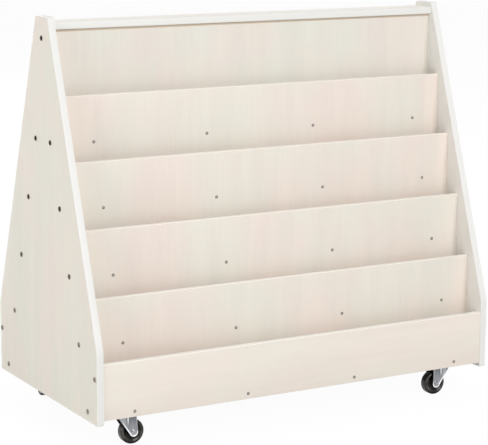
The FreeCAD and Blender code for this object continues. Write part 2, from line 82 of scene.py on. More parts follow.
def new_group(name, inputs, outputs):
    """An empty shader node group and its two ends. Sockets are given as name: (kind, default)."""
    group = bpy.data.node_groups.new(name, "ShaderNodeTree")
    for socket, (kind, default) in inputs.items():
        made = group.interface.new_socket(socket, in_out="INPUT", socket_type=f"NodeSocket{kind}")
        if default is not None:
            made.default_value = default
    for socket, kind in outputs.items():
        group.interface.new_socket(socket, in_out="OUTPUT", socket_type=f"NodeSocket{kind}")
    return group, group.nodes.new("NodeGroupInput"), group.nodes.new("NodeGroupOutput")


def input_place(word):
    """i3 means input number 3, and in any other word an underscore means a space."""
    if word[0] == "i" and word[1:].isdigit():
        return int(word[1:])
    return word.replace("_", " ")


def put(tree, kind, settings=None, **links):
    """Add a node. Settings are attributes; links fill its inputs by name or number."""
    node = tree.nodes.new(kind)
    for attribute, value in (settings or {}).items():
        setattr(node, attribute, value)
    for word, value in links.items():
        socket = node.inputs[input_place(word)]
        if isinstance(value, bpy.types.NodeSocket):
            tree.links.new(value, socket)
        else:
            socket.default_value = value
    return node


def maths(tree, operation, first, second=0.0, third=0.0):
    """The result of a Math node."""
    settings = {"operation": operation}
    return put(tree, "ShaderNodeMath", settings, i0=first, i1=second, i2=third).outputs[0]


def ramp_range(tree, value, low, high, to_low=0.0, to_high=1.0):
    """A value carried smoothly from one range to another."""
    node = put(tree, "ShaderNodeMapRange", {"interpolation_type": "SMOOTHSTEP"}, Value=value,
               From_Min=low, From_Max=high, To_Min=to_low, To_Max=to_high)
    return node.outputs["Result"]


def blend_colour(tree, factor, first, second, mode="MIX"):
    """The colour that a Mix node gives."""
    node = put(tree, "ShaderNodeMix", {"data_type": "RGBA", "blend_type": mode},
               i0=factor, i6=first, i7=second)
    return node.outputs[2]


def blend_value(tree, factor, first, second):
    """The number that a Mix node gives."""
    settings = {"data_type": "FLOAT"}
    return put(tree, "ShaderNodeMix", settings, i0=factor, i2=first, i3=second).outputs[0]


def grey(tree, level):
    """A number as a neutral colour."""
    return put(tree, "ShaderNodeCombineColor", {}, Red=level, Green=level, Blue=level).outputs[0]


def dot_product(tree, first, second):
    """How far two vectors agree."""
    settings = {"operation": "DOT_PRODUCT"}
    return put(tree, "ShaderNodeVectorMath", settings, i0=first, i1=second).outputs["Value"]


def coordinate(tree, vector, axis):
    """One part of a vector."""
    return put(tree, "ShaderNodeSeparateXYZ", {}, Vector=vector).outputs[axis]


def stretched_noise(tree, vector, scale, detail, roughness=0.5):
    """Noise drawn out by a scale for each axis."""
    mapped = put(tree, "ShaderNodeMapping", {}, Vector=vector, Scale=scale).outputs[0]
    node = put(tree, "ShaderNodeTexNoise", {}, Vector=mapped, Scale=1.0, Detail=detail,
               Roughness=roughness)
    return node.outputs["Fac"]


# the two tones that drift through pale birch veneer, greenish and pinkish
GREEN_BIRCH = (0.808, 0.773, 0.693)
PINK_BIRCH = (0.848, 0.753, 0.683)


def build_birch_veneer():
    """Group: pale rotary-cut birch whose grain runs along Z of the given vector."""
    group, start, end = new_group(
        "birch_veneer",
        {"Vector": ("Vector", None), "Green": ("Color", (*GREEN_BIRCH, 1)),
         "Pink": ("Color", (*PINK_BIRCH, 1)), "Figure": ("Float", 1.0)},
        {"Color": "Color", "Height": "Float", "Roughness": "Float"})
    vector, figure = start.outputs["Vector"], start.outputs["Figure"]
    cloud = stretched_noise(group, vector, (7.0, 7.0, 4.5), 3.0)
    patches = ramp_range(group, cloud, 0.32, 0.66)
    base = blend_colour(group, patches, start.outputs["Green"], start.outputs["Pink"])
    bands = stretched_noise(group, vector, (24.0, 24.0, 2.4), 3.0, 0.6)
    streaks = stretched_noise(group, vector, (240.0, 240.0, 9.0), 4.0, 0.65)
    flecks = stretched_noise(group, vector, (1500.0, 1500.0, 110.0), 2.0)
    fine = maths(group, "MULTIPLY", ramp_range(group, streaks, 0.3, 0.7, -0.010, 0.010), figure)
    broad = maths(group, "MULTIPLY", ramp_range(group, bands, 0.34, 0.66, -0.016, 0.016), figure)
    dashes = ramp_range(group, flecks, 0.58, 0.74, 0.0, -0.03)
    shade = maths(group, "ADD", maths(group, "ADD", fine, broad), maths(group, "ADD", dashes, 1.0))
    coloured = blend_colour(group, 1.0, base, grey(group, shade), "MULTIPLY")
    height = maths(group, "MULTIPLY_ADD", streaks, 0.6, maths(group, "MULTIPLY", flecks, 0.4))
    rough = ramp_range(group, bands, 0.3, 0.7, 0.46, 0.56)
    group.links.new(coloured, end.inputs["Color"])
    group.links.new(height, end.inputs["Height"])
    group.links.new(rough, end.inputs["Roughness"])
    return group


def build_ply_layers():
    """Group: the thin layers of a plywood edge, counted along one axis."""
    group, start, end = new_group(
        "ply_layers",
        {"Vector": ("Vector", None), "Axis": ("Vector", (1, 0, 0)), "Layer": ("Float", 0.0015)},
        {"Shade": "Float", "Height": "Float"})
    vector = start.outputs["Vector"]
    along = dot_product(group, vector, start.outputs["Axis"])
    wobble = stretched_noise(group, vector, (40.0, 40.0, 40.0), 2.0)
    shifted = maths(group, "MULTIPLY_ADD", wobble, 0.0004, along)
    counted = maths(group, "DIVIDE", shifted, start.outputs["Layer"])
    wave = maths(group, "SINE", maths(group, "MULTIPLY", counted, math.pi))
    fibres = stretched_noise(group, vector, (900.0, 900.0, 900.0), 2.0)
    shade = maths(group, "ADD", ramp_range(group, wave, -0.5, 0.5, -0.5, 0.5),
                  maths(group, "SUBTRACT", fibres, 0.5))
    group.links.new(shade, end.inputs["Shade"])
    group.links.new(wave, end.inputs["Height"])
    return group


def build_edge_mask():
    """Group: 1 where a board's surface isn't one of its two broad faces."""
    group, start, end = new_group(
        "board_edge_mask",
        {"Normal": ("Vector", None), "Face Axis": ("Vector", (1, 0, 0))}, {"Mask": "Float"})
    facing = dot_product(group, start.outputs["Normal"], start.outputs["Face Axis"])
    mask = ramp_range(group, maths(group, "ABSOLUTE", facing), 0.80, 0.97, 1.0, 0.0)
    group.links.new(mask, end.inputs["Mask"])
    return group


def build_handling_marks():
    """Group: faint smudges and fine scuffs, for roughness."""
    group, start, end = new_group(
        "handling_marks", {"Vector": ("Vector", None), "Amount": ("Float", 0.1)},
        {"Roughness": "Float", "Height": "Float"})
    vector = start.outputs["Vector"]
    smudges = stretched_noise(group, vector, (60.0, 60.0, 60.0), 3.0)
    scuffs = stretched_noise(group, vector, (900.0, 700.0, 1400.0), 3.0, 0.7)
    both = maths(group, "ADD", maths(group, "SUBTRACT", smudges, 0.5),
                 maths(group, "SUBTRACT", scuffs, 0.5))
    rough = maths(group, "MULTIPLY", both, start.outputs["Amount"])
    group.links.new(rough, end.inputs["Roughness"])
    group.links.new(scuffs, end.inputs["Height"])
    return group


BIRCH_VENEER = build_birch_veneer()
PLY_LAYERS = build_ply_layers()
EDGE_MASK = build_edge_mask()
HANDLING_MARKS = build_handling_marks()


def new_material(name, **sockets):
    """A material with one Principled shader, its constant sockets set."""
    material = bpy.data.materials.new(name)
    material.use_nodes = True
    tree = material.node_tree
    shader = tree.nodes["Principled BSDF"]
    for socket, value in sockets.items():
        shader.inputs[socket.replace("_", " ")].default_value = value
    return material, tree, shader


def use_group(tree, group, **links):
    """Place a node group in a material."""
    return put(tree, "ShaderNodeGroup", {"node_tree": group}, **links)


def object_vector(tree):
    """Object coordinates."""
    return put(tree, "ShaderNodeTexCoord").outputs["Object"]


def bump(tree, shader, height, distance, strength):
    """Feed a height to the shader's normal."""
    node = put(tree, "ShaderNodeBump", {}, Height=height, Distance=distance, Strength=strength)
    tree.links.new(node.outputs[0], shader.inputs["Normal"])


def worn_surface(tree, shader, vector, amount, rough, depth=0.00003):
    """Rubbing marks in a smooth finish: uneven roughness and a faint relief."""
    wear = use_group(tree, HANDLING_MARKS, Vector=vector, Amount=amount)
    uneven = maths(tree, "ADD", wear.outputs["Roughness"], rough)
    tree.links.new(uneven, shader.inputs["Roughness"])
    bump(tree, shader, wear.outputs["Height"], depth, 0.4)


# ---------------------------------------------------------------- wood finishes

# how a vector is turned so that its Z runs with the grain
GRAIN_TURN = {"z": (0, 0, 0), "x": (0, math.radians(-90), 0)}
# dark brown of a painted shadow, the shade under an overhang
UNDER_RAIL_SHADOW_BROWN = (0.58, 0.48, 0.38, 1)


def plywood(name, face, grain="z", shift=0.0, green=GREEN_BIRCH, pink=PINK_BIRCH,
            edge=(0.85, 0.835, 0.80), layers=0.02, shadow_above=None):
    """Birch plywood: veneer on its two faces, whitened layers round its edges.

    Its broad faces look along the axis called face. Each shift shows another piece of the
    same veneer. Above a height given for it, a painted shadow turns it dark brown, the shade under
    an overhang.
    """
    material, tree, shader = new_material(name, Specular_IOR_Level=0.35)
    vector = object_vector(tree)
    normal = put(tree, "ShaderNodeNewGeometry").outputs["Normal"]
    turned = put(tree, "ShaderNodeMapping", {}, Vector=vector, Rotation=GRAIN_TURN[grain],
                 Location=(shift, shift * 1.7, shift * 0.6)).outputs[0]
    veneer = use_group(tree, BIRCH_VENEER, Vector=turned, Green=(*green, 1), Pink=(*pink, 1))
    plies = use_group(tree, PLY_LAYERS, Vector=vector, Axis=AXES[face])
    mask = use_group(tree, EDGE_MASK, Normal=normal, Face_Axis=AXES[face]).outputs["Mask"]
    tone = maths(tree, "MULTIPLY_ADD", plies.outputs["Shade"], layers, 1.0)
    edging = blend_colour(tree, 1.0, (*edge, 1), grey(tree, tone), "MULTIPLY")
    colour = blend_colour(tree, mask, veneer.outputs["Color"], edging)
    # painted shadow: dark brown above the given height
    if shadow_above is not None:
        under_rail_shadow = ramp_range(tree, coordinate(tree, vector, "Z"),
                          shadow_above - 0.3 * MM, shadow_above + 0.3 * MM)
        colour = blend_colour(tree, under_rail_shadow, colour, UNDER_RAIL_SHADOW_BROWN)
    rough = blend_value(tree, mask, veneer.outputs["Roughness"], 0.42)
    tree.links.new(colour, shader.inputs["Base Color"])
    tree.links.new(rough, shader.inputs["Roughness"])
    relief = blend_value(tree, mask, veneer.outputs["Height"], plies.outputs["Height"])
    bump(tree, shader, relief, 0.00008, 0.5)
    return material


def dowel_beech(name):
    """Plain hardwood with lengthwise pores."""
    material, tree, shader = new_material(name, Roughness=0.6)
    vector = object_vector(tree)
    veneer = use_group(tree, BIRCH_VENEER, Vector=vector, Green=(0.62, 0.50, 0.34, 1),
                       Pink=(0.68, 0.52, 0.36, 1), Figure=3.0)
    tree.links.new(veneer.outputs["Color"], shader.inputs["Base Color"])
    bump(tree, shader, veneer.outputs["Height"], 0.0001, 0.5)
    return material


# ---------------------------------------------------------------- metal and plastic finishes

def mottled(tree, vector, first, second):
    """Two tones of zinc in fine crystals."""
    crystals = stretched_noise(tree, vector, (420.0, 420.0, 420.0), 3.0)
    return blend_colour(tree, ramp_range(tree, crystals, 0.35, 0.65), (*first, 1), (*second, 1))


def zinc(name, colour, rough=0.36):
    """Zinc plated steel with a faint crystalline mottle and rubbing marks."""
    material, tree, shader = new_material(name, Metallic=1.0)
    vector = object_vector(tree)
    cool = tuple(part * 0.86 for part in colour)
    tree.links.new(mottled(tree, vector, cool, colour), shader.inputs["Base Color"])
    worn_surface(tree, shader, vector, 0.25, rough)
    return material


# A place on a fork: X along its trail from the kingpin, Z up from the floor.
# This is where along the trail the bead runs.
BEAD_ALONG = 7.8 * MM


def stripe(tree, value, middle, half_width):
    """1 on the middle of a stripe, falling smoothly to 0 at its sides."""
    away = maths(tree, "ABSOLUTE", maths(tree, "SUBTRACT", value, middle))
    return ramp_range(tree, away, half_width * 0.55, half_width, 1.0, 0.0)


def face_painted_light(tree, place):
    """The flat of a leg, with painted light: painted shade up under the cart and beside the bead,
    painted highlights on the bead's crest, at the nose and at the foot.
    """
    vector = object_vector(tree)
    along, height = coordinate(tree, place, "X"), coordinate(tree, place, "Z")
    # painted shade: a darker tone up under the cart, a lit tone lower down
    face_painted_shade = mottled(tree, vector, (0.155, 0.162, 0.178), (0.19, 0.198, 0.212))
    fair = mottled(tree, vector, (0.27, 0.28, 0.30), (0.32, 0.332, 0.352))
    colour = blend_colour(tree, ramp_range(tree, height, 62 * MM, 30 * MM), face_painted_shade, fair)
    # painted light, paler towards the nose
    nose = ramp_range(tree, along, 6 * MM, 2 * MM)
    colour = blend_colour(tree, nose, colour, (0.37, 0.38, 0.39, 1))
    # painted shade beside the bead and a painted highlight on its crest
    on_bead = ramp_range(tree, height, 38 * MM, 51 * MM)
    beside = maths(tree, "MULTIPLY", stripe(tree, along, BEAD_ALONG, 4.2 * MM), on_bead)
    colour = blend_colour(tree, beside, colour, (0.13, 0.135, 0.145, 1))
    crest = maths(tree, "MULTIPLY", stripe(tree, along, BEAD_ALONG, 1.9 * MM), on_bead)
    colour = blend_colour(tree, crest, colour, (0.82, 0.825, 0.83, 1))
    # painted highlight at the foot
    foot = ramp_range(tree, height, 27 * MM, 20 * MM)
    return blend_colour(tree, foot, colour, (0.50, 0.505, 0.51, 1))


def rim_painted_light(tree, place):
    """The turned-out rim, with a painted highlight down its nose side, and lower down on its back
    side.
    """
    height = coordinate(tree, place, "Z")
    on_back = ramp_range(tree, coordinate(tree, place, "X"), 17 * MM, 24 * MM)
    # painted highlight: down the nose side, and lower down on the back side
    wear_and_highlight = blend_value(tree, on_back, ramp_range(tree, height, 56 * MM, 34 * MM),
                         ramp_range(tree, height, 31 * MM, 23 * MM))
    return blend_colour(tree, wear_and_highlight, (0.34, 0.35, 0.365, 1), (0.92, 0.925, 0.93, 1))


def boss_painted_light(tree, place):
    """The boss round the axle, with painted light: a painted highlight below the bolt, darker
    above it.
    """
    below = ramp_range(tree, coordinate(tree, place, "Z"), 29 * MM, 24 * MM)
    return blend_colour(tree, below, (0.27, 0.275, 0.285, 1), (0.62, 0.625, 0.63, 1))


def leg_zinc(name, painted_light):
    """Zinc on a pressed fork, with painted light and shade set by the place on its leg."""
    material, tree, shader = new_material(name, Metallic=1.0)
    place = put(tree, "ShaderNodeAttribute", {"attribute_name": "leg_place"}).outputs["Vector"]
    # the painted light and shade for this part of the leg
    tree.links.new(painted_light(tree, place), shader.inputs["Base Color"])
    worn_surface(tree, shader, object_vector(tree), 0.25, 0.30)
    return material


def wheel_black(name, dust_and_reflection_colour):
    """Glossy black moulding. Where no leg stands close in front of it, it is dusty and shiny, its
    brownish tone partly a painted reflection; near a leg, painted shadow leaves it black.
    """
    material, tree, shader = new_material(name, Coat_Roughness=0.07, Coat_IOR=1.6,
                                          Specular_IOR_Level=0.12)
    vector = object_vector(tree)
    # painted shadow: ambient occlusion fades the dust, the painted reflection and the coat out
    # near a leg
    leg_occlusion = put(tree, "ShaderNodeAmbientOcclusion", {"samples": 16}, Distance=18 * MM)
    outside_leg_shadow = ramp_range(tree, leg_occlusion.outputs["AO"], 0.66, 0.96)
    dust_and_reflection = ramp_range(tree, stretched_noise(tree, vector, (110.0, 110.0, 110.0), 4.0, 0.6),
                      0.30, 0.62)
    colour = blend_colour(tree, maths(tree, "MULTIPLY", dust_and_reflection, outside_leg_shadow),
                          (0.003, 0.003, 0.003, 1), (*dust_and_reflection_colour, 1))
    tree.links.new(colour, shader.inputs["Base Color"])
    tree.links.new(maths(tree, "MULTIPLY", outside_leg_shadow, 0.4), shader.inputs["Coat Weight"])
    worn_surface(tree, shader, vector, 0.35, 0.24, 0.00004)
    return material


def dark_steel(name):
    """Blackened screws, brown where the black is worn through, paler low on the cart."""
    material, tree, shader = new_material(name, Metallic=0.7)
    vector = object_vector(tree)
    # here only wear: brown where the black is worn through
    wear_and_highlight = ramp_range(tree, stretched_noise(tree, vector, (700.0, 700.0, 700.0), 3.0), 0.45, 0.7)
    dark = blend_colour(tree, wear_and_highlight, (0.010, 0.007, 0.005, 1), (0.06, 0.042, 0.028, 1))
    pale = blend_colour(tree, wear_and_highlight, (0.20, 0.168, 0.14, 1), (0.50, 0.435, 0.37, 1))
    low = ramp_range(tree, coordinate(tree, vector, "Z"), 460 * MM, 110 * MM)
    tree.links.new(blend_colour(tree, low, dark, pale), shader.inputs["Base Color"])
    worn_surface(tree, shader, vector, 0.3, 0.38)
    return material


# ---------------------------------------------------------------- mesh helpers

def smooth_up_to(mesh, degrees):
    """Shade a mesh smooth except where its faces meet at more than an angle."""
    mesh.shade_smooth()
    mesh.set_sharp_from_angle(angle=math.radians(degrees))


def piece_from(mesh, name, material=None):
    """A scene object for a finished mesh."""
    mesh.name = name
    if material is not None:
        mesh.materials.clear()
        mesh.materials.append(material)
    piece = bpy.data.objects.new(name, mesh)
    bpy.context.scene.collection.objects.link(piece)
    return piece


def settle(piece):
    """Turn a piece's modifiers into plain mesh and remove them."""
    bpy.context.view_layer.update()
    evaluated = piece.evaluated_get(bpy.context.evaluated_depsgraph_get())
    mesh = bpy.data.meshes.new_from_object(evaluated)
    piece.modifiers.clear()
    old = piece.data
    piece.data = mesh
    if old.users == 0:
        bpy.data.meshes.remove(old)


def put_on(piece, body, slot, *stands_for):
    """Let a piece ride on a body and stand for CAD nodes. The slot it is given is not used."""
    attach(piece, body)
    if stands_for:
        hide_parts(*stands_for)


def merged_copy(node):
    """A CAD node's mesh with its loose triangles joined into whole faces."""
    shape = bmesh.new()
    shape.from_mesh(nodes[node].data)
    bmesh.ops.remove_doubles(shape, verts=shape.verts, dist=WELD)
    bmesh.ops.dissolve_limit(shape, angle_limit=math.radians(0.4), verts=shape.verts,
                             edges=shape.edges)
    mesh = bpy.data.meshes.new(f"{node}_merged")
    shape.to_mesh(mesh)
    shape.free()
    return mesh


def ease_edges(piece, width, segments=3):
    """Round a piece's sharp edges to a width."""
    easing = piece.modifiers.new("easing", "BEVEL")
    easing.width = width
    easing.segments = segments
    easing.limit_method = "ANGLE"
    easing.angle_limit = math.radians(30)
    easing.use_clamp_overlap = True
    settle(piece)


def eased_piece(name, node, body, slot, material, width, segments=3):
    """A CAD node again, with its sharp edges rounded to a width."""
    piece = piece_from(merged_copy(node), name, material)
    ease_edges(piece, width, segments)
    piece.data.name = name
    smooth_up_to(piece.data, SOFT_ANGLE)
    put_on(piece, body, slot, node)


def turned_mesh(name, profile, segments):
    """A closed solid turned round Z from a half section of (radius, height) points."""
    shape = bmesh.new()
    rings = []
    for radius, height in profile:
        if radius == 0:
            rings.append([shape.verts.new((0, 0, height))])
            continue
        rings.append([
            shape.verts.new((radius * math.cos(turn), radius * math.sin(turn), height))
            for turn in (math.tau * step / segments for step in range(segments))
        ])
    for lower, upper in zip(rings, rings[1:] + rings[:1]):
        if len(lower) == 1 and len(upper) == 1:
            continue
        for step in range(segments):
            following = (step + 1) % segments
            corners = [lower[step % len(lower)], lower[following % len(lower)],
                       upper[following % len(upper)], upper[step % len(upper)]]
            shape.faces.new(list(dict.fromkeys(corners)))
    bmesh.ops.recalc_face_normals(shape, faces=shape.faces)
    mesh = bpy.data.meshes.new(name)
    shape.to_mesh(mesh)
    shape.free()
    return mesh


def arc(centre, radius, first, last, steps):
    """Points on an arc in the plane of a half section, angles in degrees."""
    angles = [math.radians(first + (last - first) * step / steps) for step in range(steps + 1)]
    return [(centre[0] + radius * math.cos(turn), centre[1] + radius * math.sin(turn))
            for turn in angles]


# ---------------------------------------------------------------- wood

# the greenish and pinkish veneer tones of each side panel; the right panel's are paler, painted
# light standing in for the light on its inner face
SIDE_TONES = {
    "left": ((0.796, 0.783, 0.696), (0.832, 0.768, 0.691)),
    "right": ((0.885, 0.885, 0.84), (0.905, 0.875, 0.83)),
}
# how deep a painted shadow under the rail darkens the top panels' upper edge
UNDER_RAIL_SHADOW_DEPTH = 4.2 * MM


def dress_wood():
    """Give every board its plywood, and round the edges of those that stand in view."""
    for side, (green, pink) in SIDE_TONES.items():
        node = f"side_panel_{side}"
        side_ply = plywood(f"side_plywood_{side}", "x", shift=0.31, green=green, pink=pink,
                           edge=(0.835, 0.832, 0.81), layers=0.015)
        eased_piece(f"{node}_rounded", node, "cart", "panel_plywood", side_ply, 0.6 * MM)
    rail_ply = plywood("rail_plywood", "z", grain="x", shift=2.3, green=(0.89, 0.87, 0.82),
                       pink=(0.89, 0.85, 0.80), edge=(0.83, 0.83, 0.80), layers=0.015)
    eased_piece("top_rail_rounded", "top_rail", "cart", "board_plywood", rail_ply, 0.7 * MM)
    inner_ply = plywood("inner_plywood", "z", grain="x", shift=4.1)
    nodes["top_cleat"].data.materials[0] = plywood("cleat_plywood", "y", grain="x", shift=0.9)
    nodes["base_board"].data.materials[0] = inner_ply
    nodes["rail_dowels"].data.materials[0] = dowel_beech("dowel_wood")
    for number, side in enumerate(SIDES):
        shift = 5.0 * number
        top_panel = f"top_panel_{side}"
        # where the painted shadow under the rail begins
        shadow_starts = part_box(top_panel)[1].z - UNDER_RAIL_SHADOW_DEPTH
        nodes[top_panel].data.materials[0] = plywood(
            f"top_panel_plywood_{side}", "y", shift=shift + 0.13, green=(0.775, 0.77, 0.69),
            pink=(0.81, 0.745, 0.68), shadow_above=shadow_starts)
        bottom_ply = plywood(
            f"bottom_panel_plywood_{side}", "y", grain="x", shift=shift + 2.6,
            green=(0.845, 0.81, 0.725), pink=(0.875, 0.79, 0.715), edge=(0.95, 0.92, 0.86))
        bottom = f"bottom_panel_{side}"
        eased_piece(f"{bottom}_rounded", bottom, "cart", "board_plywood", bottom_ply, 0.6 * MM, 2)
        for step in STEPS:
            board_ply = plywood(
                f"display_plywood_{side}_{step}", "y", shift=shift + 0.77 * step,
                edge=(0.94, 0.90, 0.83), layers=0.03)
            board = f"display_board_{side}_{step}"
            eased_piece(f"{board}_rounded", board, "cart", "board_plywood", board_ply,
                        0.6 * MM, 2)
            nodes[f"shelf_{side}_{step}"].data.materials[0] = inner_ply


# ---------------------------------------------------------------- screws

def cut_recess(mesh, outline, top, depth):
    """Cut a drive recess of the given outline into the top of a screw's head."""
    shape = bmesh.new()
    lower = [shape.verts.new((x * 0.8, y * 0.8, top - depth)) for x, y in outline]
    upper = [shape.verts.new((x, y, top + depth)) for x, y in outline]
    shape.faces.new(lower[::-1])
    shape.faces.new(upper)
    for number in range(len(outline)):
        following = (number + 1) % len(outline)
        shape.faces.new([lower[number], lower[following], upper[following], upper[number]])
    cutter_mesh = bpy.data.meshes.new("recess_cutter")
    shape.to_mesh(cutter_mesh)
    shape.free()
    cutter = piece_from(cutter_mesh, "recess_cutter")
    screw = piece_from(mesh, mesh.name)
    cut = screw.modifiers.new("recess", "BOOLEAN")
    cut.object = cutter
    cut.solver = "EXACT"
    settle(screw)
    bpy.data.objects.remove(cutter)
    return screw


def hexagon_outline(radius):
    """A six-sided socket."""
    return [(radius * math.cos(math.tau * step / 6), radius * math.sin(math.tau * step / 6))
            for step in range(6)]


def cross_outline(reach, half_width):
    """A cross recess, as the twelve corners of a plus."""
    quarter = [(reach, -half_width), (reach, half_width), (half_width, half_width)]
    outline = []
    for turn in range(4):
        cosine, sine = math.cos(turn * math.pi / 2), math.sin(turn * math.pi / 2)
        outline += [(x * cosine - y * sine, x * sine + y * cosine) for x, y in quarter]
    return outline


def flat_head_profile(head, shank, length):
    """Half section of a countersunk wood screw whose head's top lies at height 0."""
    return [(0, 0), (head * 0.86, 0), (head * 0.95, -0.1 * MM), (head, -0.3 * MM),
            (head, -0.7 * MM), (shank, -0.7 * MM - (head - shank)), (shank, -length * 0.85),
            (0, -length)]


def button_head_profile(head, shank, length):
    """Half section of a low domed furniture bolt whose head's top lies at height 0."""
    return [(0, 0), (head * 0.55, -0.05 * MM), (head * 0.8, -0.3 * MM), (head * 0.95, -0.75 * MM),
            (head, -1.2 * MM), (head, -1.5 * MM), (shank, -1.5 * MM), (shank, -length * 0.85),
            (0, -length)]


def pan_head_profile(head, shank, height, length):
    """Half section of a pan-head screw whose head stands on height 0."""
    dome = arc((0, height - head * 1.9), head * 1.9, 90, 62, 6)
    return dome + [(head, height * 0.35), (head, 0), (shank, 0), (shank, -length * 0.85),
                   (0, -length)]


def screw_tree():
    """Geometry Nodes: one screw on each point, its head facing along the point's outward arrow."""
    tree = bpy.data.node_groups.new("screws_on_points", "GeometryNodeTree")
    for name, kind in (("Geometry", "Geometry"), ("Screw", "Object"), ("Size", "Float"),
                       ("Turn Seed", "Int"), ("Finish", "Material")):
        tree.interface.new_socket(name, in_out="INPUT", socket_type=f"NodeSocket{kind}")
    tree.interface.new_socket("Geometry", in_out="OUTPUT", socket_type="NodeSocketGeometry")
    start, end = tree.nodes.new("NodeGroupInput"), tree.nodes.new("NodeGroupOutput")
    outward = put(tree, "GeometryNodeInputNamedAttribute", {"data_type": "FLOAT_VECTOR"},
                  Name="outward")
    facing = put(tree, "FunctionNodeAlignRotationToVector", {"axis": "Z"},
                 Vector=outward.outputs[0])
    spin = put(tree, "FunctionNodeRandomValue", {"data_type": "FLOAT"}, i2=0.0, i3=math.tau,
               Seed=start.outputs["Turn Seed"])
    about = put(tree, "FunctionNodeAxisAngleToRotation", {}, Axis=(0, 0, 1), Angle=spin.outputs[1])
    turned = put(tree, "FunctionNodeRotateRotation", {"rotation_space": "LOCAL"},
                 i0=facing.outputs[0], i1=about.outputs[0])
    screw = put(tree, "GeometryNodeObjectInfo", {}, Object=start.outputs["Screw"])
    copies = put(tree, "GeometryNodeInstanceOnPoints", {}, Points=start.outputs["Geometry"],
                 Instance=screw.outputs["Geometry"], Rotation=turned.outputs[0],
                 Scale=start.outputs["Size"])
    solid = put(tree, "GeometryNodeRealizeInstances", {}, Geometry=copies.outputs[0])
    finished = put(tree, "GeometryNodeSetMaterial", {}, Geometry=solid.outputs[0],
                   Material=start.outputs["Finish"])
    tree.links.new(finished.outputs[0], end.inputs[0])
    return tree


def screw_places(node):
    """The middle and the size of every bar in a CAD node of plain screws."""
    shape = bmesh.new()
    shape.from_mesh(nodes[node].data)
    bmesh.ops.remove_doubles(shape, verts=shape.verts, dist=WELD)
    left = set(shape.verts)
    places = []
    while left:
        bar, front = set(), [left.pop()]
        while front:
            vertex = front.pop()
            bar.add(vertex)
            for edge in vertex.link_edges:
                other = edge.other_vert(vertex)
                if other in left:
                    left.remove(other)
                    front.append(other)
        corners = [vertex.co for vertex in bar]
        low = Vector(min(corner[axis] for corner in corners) for axis in range(3))
        high = Vector(max(corner[axis] for corner in corners) for axis in range(3))
        places.append(((low + high) / 2, high - low))
    shape.free()
    return places


def head_points(node):
    """The head's middle and the outward arrow of every screw in a CAD node."""
    points = []
    for middle, size in screw_places(node):
        along = max(range(3), key=lambda axis: size[axis])
        arrow = Vector((0, 0, 0))
        arrow[along] = -1 if along == 2 else math.copysign(1, middle[along])
        points.append((middle + arrow * size[along] / 2, arrow))
    points.sort(key=lambda point: tuple(round(part, 4) for part in point[0]))
    return points


def place_screws(name, node, screw, slot, finish, sink, seed, tree):
    """Stand a detailed screw in place of each plain one of a CAD node.

    Sink is how far in from the plain head's face the detailed screw's height 0 lies.
    """
    points = head_points(node)
    mesh = bpy.data.meshes.new(f"{name}_points")
    mesh.from_pydata([head - arrow * sink for head, arrow in points], [], [])
    arrows = mesh.attributes.new("outward", "FLOAT_VECTOR", "POINT")
    for number, (_, arrow) in enumerate(points):
        arrows.data[number].vector = arrow
    piece = piece_from(mesh, name)
    modifier = piece.modifiers.new("screws", "NODES")
    modifier.node_group = tree
    inputs = {item.name: item.identifier for item in tree.interface.items_tree
              if item.in_out == "INPUT"}
    modifier[inputs["Screw"]] = screw
    modifier[inputs["Size"]] = 1.0
    modifier[inputs["Turn Seed"]] = seed
    modifier[inputs["Finish"]] = finish
    settle(piece)
    piece.data.name = name
    smooth_up_to(piece.data, 35)
    bpy.data.objects.remove(screw)
    put_on(piece, "cart", slot, node)


SCREW_SEGMENTS = 28


def dress_screws():
    """Dark socket screws in the sides, grey cross-head screws in the boards and plates."""
    tree = screw_tree()
    steel = zinc("screw_steel", (0.14, 0.135, 0.125), 0.45)

    profile = button_head_profile(head=5.4 * MM, shank=3 * MM, length=50 * MM)
    side = turned_mesh("side_screw", profile, SCREW_SEGMENTS)
    side = cut_recess(side, hexagon_outline(2.3 * MM), top=0, depth=2.4 * MM)
    place_screws("side_screws", "side_panel_screws", side, "dark_screws",
                 dark_steel("blackened_steel"), sink=-1.5 * MM, seed=3, tree=tree)

    profile = flat_head_profile(head=3.2 * MM, shank=1.9 * MM, length=40 * MM)
    board = turned_mesh("board_screw", profile, SCREW_SEGMENTS)
    board = cut_recess(board, cross_outline(2.1 * MM, 0.45 * MM), top=0, depth=1.8 * MM)
    place_screws("board_face_screws", "board_screws", board, "steel_screws", steel,
                 sink=0.05 * MM, seed=5, tree=tree)

    height = 2.1 * MM
    profile = pan_head_profile(head=4.3 * MM, shank=2.4 * MM, height=height, length=14 * MM)
    pan = turned_mesh("plate_screw", profile, SCREW_SEGMENTS)
    pan = cut_recess(pan, cross_outline(2.3 * MM, 0.5 * MM), top=height, depth=1.5 * MM)
    place_screws("plate_screws", "caster_screws", pan, "steel_screws", steel,
                 sink=2.0 * MM, seed=7, tree=tree)


# ---------------------------------------------------------------- casters

